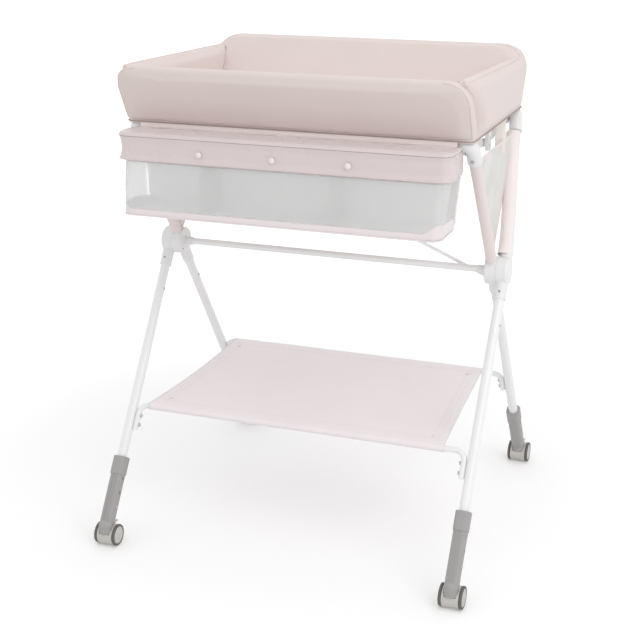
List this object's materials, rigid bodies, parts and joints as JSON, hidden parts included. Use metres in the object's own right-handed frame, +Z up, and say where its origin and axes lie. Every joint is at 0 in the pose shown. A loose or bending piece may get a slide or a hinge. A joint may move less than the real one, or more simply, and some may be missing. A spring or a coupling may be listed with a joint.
{
  "type": "folding changing table",
  "caption": "Folding baby changing table: padded basin on crossed tube legs, with an organiser under the pad, a cloth shelf, adjustable feet and braked casters.",
  "frame": {"origin": "middle of the table's outline, on the floor", "axes": "+X to the right along the hub axis, +Y to the back, +Z up; the organiser is at the front, towards -Y"},
  "size_m": [0.7846, 0.747, 0.996],
  "materials": {
    "white_tube": "white powder coat",
    "white_plastic": "satin moulded",
    "steel": "zinc plated",
    "grey_plastic": "fine moulded grain",
    "hood_plastic": "light warm grey",
    "tyre": "dark grey",
    "pad_cover": "soft pale pink coated cloth",
    "pink_fabric": "pale pink cloth",
    "mesh": "fine net",
    "clear": "clear film",
    "pearl": "pearl"
  },
  "bodies": {
    "front_frame": {"front_legs": "white_tube", "front_leg_stubs": "white_tube", "rear_upper_tubes": "white_tube", "outer_hub_halves": "white_plastic", "hub_caps": "white_plastic", "rear_elbows": "white_plastic", "rear_top_rail": "white_tube", "rear_sleeves": "pink_fabric", "shelf_front_bar": "white_tube", "front_frame_bolts": "steel", "pad_floor": "pad_cover", "pad_side_walls": "pad_cover", "pad_end_walls": "pad_cover", "shelf_sheet": "pink_fabric", "side_mesh_panels": "mesh"},
    "rear_frame": {"rear_legs": "white_tube", "rear_leg_stubs": "white_tube", "front_upper_tubes": "white_tube", "inner_hub_halves": "white_plastic", "pivot_bolts": "steel", "crossbar": "white_tube", "front_elbows": "white_plastic", "front_top_rail": "white_tube", "front_sleeves": "pink_fabric", "shelf_rear_bar": "white_tube", "brace_rod": "white_tube", "rear_frame_bolts": "steel", "organiser_basket": "pink_fabric", "organiser_windows": "clear", "organiser_dividers": "mesh"},
    "lid": {"organiser_lid": "pink_fabric", "lid_snaps": "pearl"},
    "stay_rear_left": {"stay_rear_left": "white_plastic"},
    "stay_front_left": {"stay_front_left": "white_plastic"},
    "stay_rear_right": {"stay_rear_right": "white_plastic"},
    "stay_front_right": {"stay_front_right": "white_plastic"},
    "leg_extension_front_left": {"leg_extension_front_left": "grey_plastic"},
    "height_button_front_left": {"height_button_front_left": "grey_plastic"},
    "joint_button_front_left": {"joint_button_front_left": "steel"},
    "caster_hood_front_left": {"caster_hood_front_left": "hood_plastic"},
    "caster_wheels_front_left": {"caster_wheels_front_left": "tyre"},
    "brake_lever_front_left": {"brake_lever_front_left": "hood_plastic"},
    "leg_extension_front_right": {"leg_extension_front_right": "grey_plastic"},
    "height_button_front_right": {"height_button_front_right": "grey_plastic"},
    "joint_button_front_right": {"joint_button_front_right": "steel"},
    "caster_hood_front_right": {"caster_hood_front_right": "hood_plastic"},
    "caster_wheels_front_right": {"caster_wheels_front_right": "tyre"},
    "brake_lever_front_right": {"brake_lever_front_right": "hood_plastic"},
    "leg_extension_rear_left": {"leg_extension_rear_left": "grey_plastic"},
    "height_button_rear_left": {"height_button_rear_left": "grey_plastic"},
    "joint_button_rear_left": {"joint_button_rear_left": "steel"},
    "caster_hood_rear_left": {"caster_hood_rear_left": "hood_plastic"},
    "caster_wheels_rear_left": {"caster_wheels_rear_left": "tyre"},
    "brake_lever_rear_left": {"brake_lever_rear_left": "hood_plastic"},
    "leg_extension_rear_right": {"leg_extension_rear_right": "grey_plastic"},
    "height_button_rear_right": {"height_button_rear_right": "grey_plastic"},
    "joint_button_rear_right": {"joint_button_rear_right": "steel"},
    "caster_hood_rear_right": {"caster_hood_rear_right": "hood_plastic"},
    "caster_wheels_rear_right": {"caster_wheels_rear_right": "tyre"},
    "brake_lever_rear_right": {"brake_lever_rear_right": "hood_plastic"}
  },
  "joints": [
    {"name": "frame_fold", "type": "hinge", "parent": "front_frame", "child": "rear_frame", "pos_m": [0, -0.00698, 0.57], "axis": [-1, 0, 0], "range_deg": [0, 50], "deforming": ["pad_floor", "pad_side_walls", "pad_end_walls", "shelf_sheet", "side_mesh_panels"]},
    {"name": "lid_hinge", "type": "hinge", "parent": "rear_frame", "child": "lid", "pos_m": [0, -0.20897, 0.857], "axis": [-1, 0, 0], "range_deg": [0, 48]},
    {"name": "stay_rear_left_hinge", "type": "hinge", "parent": "front_frame", "child": "stay_rear_left", "pos_m": [-0.323, 0.16671, 0.842], "axis": [1, 0, 0], "range_deg": [0, 48]},
    {"name": "stay_front_left_hinge", "type": "hinge", "parent": "rear_frame", "child": "stay_front_left", "pos_m": [-0.323, -0.17636, 0.842], "axis": [-1, 0, 0], "range_deg": [0, 45]},
    {"name": "stay_rear_right_hinge", "type": "hinge", "parent": "front_frame", "child": "stay_rear_right", "pos_m": [0.323, 0.16671, 0.842], "axis": [1, 0, 0], "range_deg": [0, 48]},
    {"name": "stay_front_right_hinge", "type": "hinge", "parent": "rear_frame", "child": "stay_front_right", "pos_m": [0.323, -0.17636, 0.842], "axis": [-1, 0, 0], "range_deg": [0, 45]},
    {"name": "height_slide_front_left", "type": "slide", "parent": "front_frame", "child": "leg_extension_front_left", "axis": [0, -0.5534, -0.8329], "range_m": [0, 0.06]},
    {"name": "height_button_front_left_press", "type": "slide", "parent": "front_frame", "child": "height_button_front_left", "axis": [-1, 0, 0], "range_m": [0, 0.004], "stiffness_N_per_m": 1500, "deforming": ["height_button_front_left"]},
    {"name": "joint_button_front_left_press", "type": "slide", "parent": "front_frame", "child": "joint_button_front_left", "axis": [-1, 0, 0], "range_m": [0, 0.004], "stiffness_N_per_m": 1500, "deforming": ["joint_button_front_left"]},
    {"name": "caster_swivel_front_left", "type": "hinge", "parent": "leg_extension_front_left", "child": "caster_hood_front_left", "pos_m": [-0.369, -0.35896, 0.03], "axis": [0, 0, 1], "continuous": true},
    {"name": "caster_roll_front_left", "type": "hinge", "parent": "caster_hood_front_left", "child": "caster_wheels_front_left", "pos_m": [-0.369, -0.34796, 0.0225], "axis": [1, 0, 0], "continuous": true},
    {"name": "brake_press_front_left", "type": "hinge", "parent": "caster_hood_front_left", "child": "brake_lever_front_left", "pos_m": [-0.369, -0.33796, 0.035], "axis": [-1, 0, 0], "range_deg": [0, 14]},
    {"name": "height_slide_front_right", "type": "slide", "parent": "front_frame", "child": "leg_extension_front_right", "axis": [0, -0.5534, -0.8329], "range_m": [0, 0.06]},
    {"name": "height_button_front_right_press", "type": "slide", "parent": "front_frame", "child": "height_button_front_right", "axis": [-1, 0, 0], "range_m": [0, 0.004], "stiffness_N_per_m": 1500, "deforming": ["height_button_front_right"]},
    {"name": "joint_button_front_right_press", "type": "slide", "parent": "front_frame", "child": "joint_button_front_right", "axis": [-1, 0, 0], "range_m": [0, 0.004], "stiffness_N_per_m": 1500, "deforming": ["joint_button_front_right"]},
    {"name": "caster_swivel_front_right", "type": "hinge", "parent": "leg_extension_front_right", "child": "caster_hood_front_right", "pos_m": [0.369, -0.35896, 0.03], "axis": [0, 0, 1], "continuous": true},
    {"name": "caster_roll_front_right", "type": "hinge", "parent": "caster_hood_front_right", "child": "caster_wheels_front_right", "pos_m": [0.369, -0.34796, 0.0225], "axis": [1, 0, 0], "continuous": true},
    {"name": "brake_press_front_right", "type": "hinge", "parent": "caster_hood_front_right", "child": "brake_lever_front_right", "pos_m": [0.369, -0.33796, 0.035], "axis": [-1, 0, 0], "range_deg": [0, 14]},
    {"name": "height_slide_rear_left", "type": "slide", "parent": "rear_frame", "child": "leg_extension_rear_left", "axis": [0, 0.5446, -0.8387], "range_m": [0, 0.06]},
    {"name": "height_button_rear_left_press", "type": "slide", "parent": "rear_frame", "child": "height_button_rear_left", "axis": [-1, 0, 0], "range_m": [0, 0.004], "stiffness_N_per_m": 1500, "deforming": ["height_button_rear_left"]},
    {"name": "joint_button_rear_left_press", "type": "slide", "parent": "rear_frame", "child": "joint_button_rear_left", "axis": [-1, 0, 0], "range_m": [0, 0.004], "stiffness_N_per_m": 1500, "deforming": ["joint_button_rear_left"]},
    {"name": "caster_swivel_rear_left", "type": "hinge", "parent": "leg_extension_rear_left", "child": "caster_hood_rear_left", "pos_m": [-0.346, 0.33696, 0.03], "axis": [0, 0, 1], "continuous": true},
    {"name": "caster_roll_rear_left", "type": "hinge", "parent": "caster_hood_rear_left", "child": "caster_wheels_rear_left", "pos_m": [-0.346, 0.34796, 0.0225], "axis": [1, 0, 0], "continuous": true},
    {"name": "brake_press_rear_left", "type": "hinge", "parent": "caster_hood_rear_left", "child": "brake_lever_rear_left", "pos_m": [-0.346, 0.35796, 0.035], "axis": [-1, 0, 0], "range_deg": [0, 14]},
    {"name": "height_slide_rear_right", "type": "slide", "parent": "rear_frame", "child": "leg_extension_rear_right", "axis": [0, 0.5446, -0.8387], "range_m": [0, 0.06]},
    {"name": "height_button_rear_right_press", "type": "slide", "parent": "rear_frame", "child": "height_button_rear_right", "axis": [-1, 0, 0], "range_m": [0, 0.004], "stiffness_N_per_m": 1500, "deforming": ["height_button_rear_right"]},
    {"name": "joint_button_rear_right_press", "type": "slide", "parent": "rear_frame", "child": "joint_button_rear_right", "axis": [-1, 0, 0], "range_m": [0, 0.004], "stiffness_N_per_m": 1500, "deforming": ["joint_button_rear_right"]},
    {"name": "caster_swivel_rear_right", "type": "hinge", "parent": "leg_extension_rear_right", "child": "caster_hood_rear_right", "pos_m": [0.346, 0.33696, 0.03], "axis": [0, 0, 1], "continuous": true},
    {"name": "caster_roll_rear_right", "type": "hinge", "parent": "caster_hood_rear_right", "child": "caster_wheels_rear_right", "pos_m": [0.346, 0.34796, 0.0225], "axis": [1, 0, 0], "continuous": true},
    {"name": "brake_press_rear_right", "type": "hinge", "parent": "caster_hood_rear_right", "child": "brake_lever_rear_right", "pos_m": [0.346, 0.35796, 0.035], "axis": [-1, 0, 0], "range_deg": [0, 14]}
  ],
  "couplings": [
    {"joint": "stay_rear_left_hinge", "follows": "frame_fold", "ratio": 0.9471},
    {"joint": "stay_front_left_hinge", "follows": "frame_fold", "ratio": 0.8956},
    {"joint": "stay_rear_right_hinge", "follows": "frame_fold", "ratio": 0.9471},
    {"joint": "stay_front_right_hinge", "follows": "frame_fold", "ratio": 0.8956}
  ]
}
